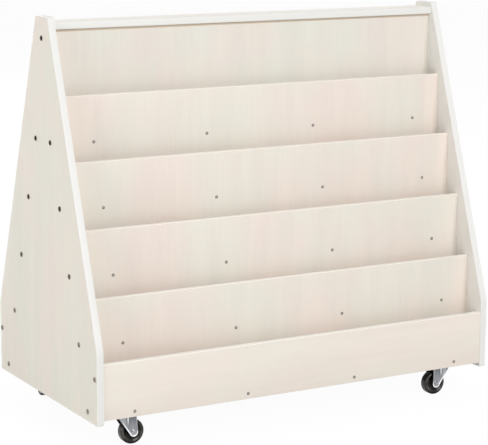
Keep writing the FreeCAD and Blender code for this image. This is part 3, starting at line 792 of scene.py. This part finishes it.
def wheel_profile():
    """Half section of a wheel: hub, sunk web, ring, rim and a rounded tread."""
    low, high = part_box("wheel_front_left")
    radius, half_hub = (high.z - low.z) / 2, (high.y - low.y) / 2
    bore, half_tread, shoulder = 4 * MM, 9.5 * MM, 4 * MM
    tread = arc((radius - shoulder, shoulder - half_tread), shoulder, -90, 0, 8)
    tread += arc((radius - shoulder, half_tread - shoulder), shoulder, 0, 90, 8)
    # radius in mm, and how many mm the side lies in from the side of the tread
    sunk = ((20.4, 0.1), (19.6, 0.15), (19.0, 0.4), (17.2, 1.2), (16.4, 1.7), (15.2, 2.0),
            (14.8, 1.3), (14.0, 1.2), (13.6, 2.2), (9.6, 2.6), (8.2, 1.6))
    side = [(across * MM, half_tread - depth * MM) for across, depth in sunk]
    side += [(7.5 * MM, half_hub - 0.4 * MM), (7.1 * MM, half_hub), (bore, half_hub)]
    return tread + side + [(across, -out) for across, out in reversed(side)]


def joint_named(name):
    """A joint of the frame by its name."""
    return next(joint for joint in frame["joints"] if joint["name"] == name)


def axle_frame(corner):
    """Where a wheel turns, and the turn that carries Z onto its axle."""
    joint = joint_named(f"{corner}_wheel_spin")
    turn = Vector((0, 0, 1)).rotation_difference(Vector(joint["axis"])).to_matrix().to_4x4()
    return Matrix.Translation(joint["pos_m"]) @ turn


def fork_frame(corner):
    """Local lengths of a fork to the scene: X along its trail, Y across, Z up from the floor."""
    swivel = Vector(joint_named(f"{corner}_swivel")["pos_m"])
    ahead = Vector(joint_named(f"{corner}_wheel_spin")["pos_m"]) - swivel
    ahead.z, swivel.z = 0, 0
    ahead.normalize()
    across = AXES["z"].cross(ahead)
    return Matrix.Translation(swivel) @ Matrix((ahead, across, AXES["z"])).transposed().to_4x4()


# in a fork's own lengths: how far from its middle the outer faces of its legs lie
LEG_FACE = 13.5 * MM
# half section of the bead: along the leg and out from it, in mm
BEAD_SECTION = ((-2.2, 0), (-1.4, 0.55), (-0.5, 0.95), (0.5, 0.95), (1.4, 0.55), (2.2, 0))
# heights in mm, and how much of the section stands there
BEAD_ROWS = ((32, 0.15), (36, 0.6), (41, 0.9), (47, 1), (67, 1))
# the boss round the axle: radius and rise from the leg in mm, from its root to its middle
BOSS_SECTION = ((6.0, -0.2), (5.9, 0.25), (5.4, 0.55), (4.9, 0.6), (0, 0.6))
BOSS_STEPS = 40


def pressed_bead(shape, side):
    """The closed raised bead that stiffens a leg, tapering out towards the foot."""
    rows = []
    for height, grow in BEAD_ROWS:
        rows.append([
            shape.verts.new((BEAD_ALONG + along * grow * MM,
                             side * (LEG_FACE + (rise * grow - 0.1) * MM), height * MM))
            for along, rise in BEAD_SECTION
        ])
    for lower, upper in zip(rows, rows[1:]):
        for number in range(len(BEAD_SECTION) - 1):
            shape.faces.new([lower[number], lower[number + 1], upper[number + 1], upper[number]])
    for row in (rows[0], rows[-1]):
        shape.faces.new(row)
    for lower, upper in zip(rows, rows[1:]):
        shape.faces.new([lower[0], upper[0], upper[-1], lower[-1]])


def axle_boss(shape, side, trail, height):
    """The round boss pressed out of a leg about its axle."""
    rings = []
    for radius, rise in BOSS_SECTION:
        out = side * (LEG_FACE + rise * MM)
        if radius == 0:
            rings.append([shape.verts.new((trail, out, height))])
            continue
        rings.append([
            shape.verts.new((trail + radius * MM * math.cos(turn), out,
                             height + radius * MM * math.sin(turn)))
            for turn in (math.tau * step / BOSS_STEPS for step in range(BOSS_STEPS))
        ])
    for lower, upper in zip(rings, rings[1:]):
        for step in range(BOSS_STEPS):
            following = (step + 1) % BOSS_STEPS
            corners = [lower[step], lower[following], upper[following % len(upper)],
                       upper[step % len(upper)]]
            shape.faces.new(list(dict.fromkeys(corners)))
    shape.faces.new(rings[0])


# which of a fork's three finishes a face wears
FACE, RIM, BOSS = range(3)


def leg_features(place, axle):
    """The beads and axle bosses of a fork, as one mesh in the scene."""
    shape = bmesh.new()
    for side in (-1, 1):
        pressed_bead(shape, side)
    bead_count = len(shape.faces)
    for side in (-1, 1):
        axle_boss(shape, side, axle.x, axle.z)
    bmesh.ops.recalc_face_normals(shape, faces=shape.faces)
    shape.faces.ensure_lookup_table()
    for number, face in enumerate(shape.faces):
        face.material_index = FACE if number < bead_count else BOSS
    shape.transform(place)
    mesh = bpy.data.meshes.new("fork_features")
    shape.to_mesh(mesh)
    shape.free()
    return mesh


def pressed_fork(corner, finishes):
    """A fork with rounded sheet edges, rims with a painted highlight, beads and axle bosses."""
    place = fork_frame(corner)
    away = place.inverted()
    axle = away @ Vector(joint_named(f"{corner}_wheel_spin")["pos_m"])
    piece = piece_from(merged_copy(f"fork_{corner}"), f"fork_{corner}_pressed")
    piece.data.materials.clear()
    for finish in finishes:
        piece.data.materials.append(finish)
    for face in piece.data.polygons:
        offset = abs((away @ face.center).y)
        across = abs((away.to_3x3() @ face.normal).y)
        # rim faces get the rim's painted highlight
        if offset > LEG_FACE + 0.5 * MM or (offset > LEG_FACE - 1 * MM and across < 0.5):
            face.material_index = RIM
    ease_edges(piece, 0.45 * MM)
    added = leg_features(place, axle)
    whole = bmesh.new()
    whole.from_mesh(piece.data)
    whole.from_mesh(added)
    whole.to_mesh(piece.data)
    whole.free()
    bpy.data.meshes.remove(added)
    piece.data.name = piece.name
    leg_place = piece.data.attributes.new("leg_place", "FLOAT_VECTOR", "POINT")
    for number, vertex in enumerate(piece.data.vertices):
        leg_place.data[number].vector = away @ vertex.co
    smooth_up_to(piece.data, SOFT_ANGLE)
    put_on(piece, f"swivel_{corner}", "zinc_steel", f"fork_{corner}")


WHEEL_SEGMENTS = 96
TREAD_INNER_RADIUS = 21 * MM


def turned_wheel(corner, side_black, tread_black):
    """A wheel whose tread is darker than its sides."""
    mesh = turned_mesh(f"wheel_{corner}_turned", wheel_profile(), WHEEL_SEGMENTS)
    tread = [face.index for face in mesh.polygons
             if abs(face.normal.z) < 0.7 and face.center.xy.length > TREAD_INNER_RADIUS]
    mesh.transform(axle_frame(corner))
    piece = piece_from(mesh, f"wheel_{corner}_turned", side_black)
    smooth_up_to(piece.data, 28)
    piece.data.materials.append(tread_black)
    for number in tread:
        piece.data.polygons[number].material_index = 1
    put_on(piece, f"rolling_{corner}", "black_wheel", f"wheel_{corner}")


def dress_casters():
    """Wheels, pressed forks, axles, sleeves, plates and kingpins of the four casters."""
    # the sides' brownish grey is dust and partly a painted reflection; the tread's is nearly black
    side_black = wheel_black("black_wheel", (0.078, 0.069, 0.057))
    tread_black = wheel_black("black_tread", (0.014, 0.013, 0.011))
    pressed = zinc("plate_zinc", (0.32, 0.33, 0.35))
    bright = zinc("bright_zinc", (0.86, 0.865, 0.87), 0.22)
    fair = zinc("bolt_zinc", (0.38, 0.385, 0.39), 0.34)
    finishes = [leg_zinc("leg_face_zinc", face_painted_light), leg_zinc("leg_rim_zinc", rim_painted_light),
                leg_zinc("leg_boss_zinc", boss_painted_light)]
    for corner in CORNERS:
        turned_wheel(corner, side_black, tread_black)
        pressed_fork(corner, finishes)
        for part in ("axle_bolt", "axle_nut"):
            eased_piece(f"{part}_{corner}_eased", f"{part}_{corner}", f"swivel_{corner}",
                        "zinc_steel", fair, 0.35 * MM, 2)
        nodes[f"axle_sleeve_{corner}"].data.materials[0] = bright
        eased_piece(f"caster_plate_{corner}_pressed", f"caster_plate_{corner}", "cart",
                    "zinc_steel", pressed, 0.4 * MM, 2)
    eased_piece("kingpins_eased", "kingpins", "cart", "zinc_steel", bright, 0.5 * MM, 2)


# ---------------------------------------------------------------- studio

def white_for_camera(tree, lit, strength=1.0, share=1.0):
    """Mix a lit shader with a share of plain white where the camera, a mirror or glass sees it."""
    path = put(tree, "ShaderNodeLightPath")
    seen = maths(tree, "MAXIMUM", path.outputs["Is Camera Ray"], path.outputs["Is Glossy Ray"])
    seen = maths(tree, "MAXIMUM", seen, path.outputs["Is Transmission Ray"])
    glow = put(tree, "ShaderNodeEmission", {}, Color=(1, 1, 1, 1), Strength=strength)
    mixed = put(tree, "ShaderNodeMixShader", {}, i0=maths(tree, "MULTIPLY", seen, share))
    tree.links.new(lit, mixed.inputs[1])
    tree.links.new(glow.outputs[0], mixed.inputs[2])
    return mixed.outputs[0]


def make_floor():
    """A wide pale floor that keeps a faint shadow."""
    shape = bmesh.new()
    bmesh.ops.create_grid(shape, x_segments=1, y_segments=1, size=30)
    mesh = bpy.data.meshes.new("studio_floor")
    shape.to_mesh(mesh)
    shape.free()
    material, tree, shader = new_material("floor_paper", Base_Color=(0.6, 0.6, 0.6, 1),
                                          Roughness=0.9, Specular_IOR_Level=0.1)
    surface = white_for_camera(tree, shader.outputs[0], strength=1.04, share=0.92)
    tree.links.new(surface, tree.nodes["Material Output"].inputs["Surface"])
    floor = piece_from(mesh, "studio_floor", material)
    floor.location.z = cad_low.z - 0.5 * MM


WORLD_STRENGTH = 0.38


def make_world():
    """Even surroundings that light the cart warmly and look white."""
    world = bpy.data.worlds.new("studio")
    bpy.context.scene.world = world
    world.use_nodes = True
    tree = world.node_tree
    background = tree.nodes["Background"]
    background.inputs["Color"].default_value = (1.0, 0.975, 0.955, 1)
    background.inputs["Strength"].default_value = WORLD_STRENGTH
    surface = white_for_camera(tree, background.outputs[0])
    tree.links.new(surface, tree.nodes["World Output"].inputs["Surface"])


def make_light(name, place, target, size, watts):
    """A square soft box aimed at a point."""
    light = bpy.data.lights.new(name, "AREA")
    light.size = size
    light.energy = watts
    lamp = bpy.data.objects.new(name, light)
    bpy.context.scene.collection.objects.link(lamp)
    lamp.location = place
    lamp.rotation_mode = "QUATERNION"
    lamp.rotation_quaternion = (Vector(target) - Vector(place)).to_track_quat("-Z", "Y")


CART_MIDDLE = (0, 0, 0.4)


def make_lights():
    """A large soft key in front, a low fill on the left, and boxes above, behind and right."""
    make_light("key_light", (0.7, -6.0, 3.0), CART_MIDDLE, size=3.1, watts=228)
    make_light("fill_light", (-2.7, -0.4, 0.15), CART_MIDDLE, size=1.7, watts=40)
    make_light("top_light", (0, 0, 3.6), CART_MIDDLE, size=2.4, watts=14)
    make_light("rear_light", (-0.6, 5.2, 2.6), CART_MIDDLE, size=3.0, watts=145)
    make_light("right_light", (4.0, 0.4, 0.6), CART_MIDDLE, size=2.0, watts=55)


# the camera: place, its turns from a level view along +Y in degrees, lens and sensor in mm
CAMERA_PLACE = (-1.8905, -3.3104, 1.1195)
CAMERA_YAW, CAMERA_PITCH, CAMERA_ROLL = 29.691, 11.054, -0.334
CAMERA_LENS, CAMERA_SENSOR = 136.5, 36


def make_camera():
    """The photograph's viewpoint."""
    yaw, pitch, roll = (math.radians(turn) for turn in (CAMERA_YAW, CAMERA_PITCH, CAMERA_ROLL))
    ahead = Vector((math.sin(yaw) * math.cos(pitch), math.cos(yaw) * math.cos(pitch),
                    -math.sin(pitch)))
    level = Vector((math.cos(yaw), -math.sin(yaw), 0))
    down = ahead.cross(level)
    right = level * math.cos(roll) + down * math.sin(roll)
    up = level * math.sin(roll) - down * math.cos(roll)
    data = bpy.data.cameras.new("photo_camera")
    data.sensor_width = CAMERA_SENSOR
    data.lens = CAMERA_LENS
    camera = bpy.data.objects.new("photo_camera", data)
    bpy.context.scene.collection.objects.link(camera)
    camera.matrix_world = (Matrix.Translation(CAMERA_PLACE)
                           @ Matrix((right, up, -ahead)).transposed().to_4x4())
    bpy.context.scene.camera = camera


dress_wood()
dress_screws()
dress_casters()
make_floor()
make_world()
make_lights()
make_camera()
bpy.context.scene.view_settings.view_transform = "Standard"
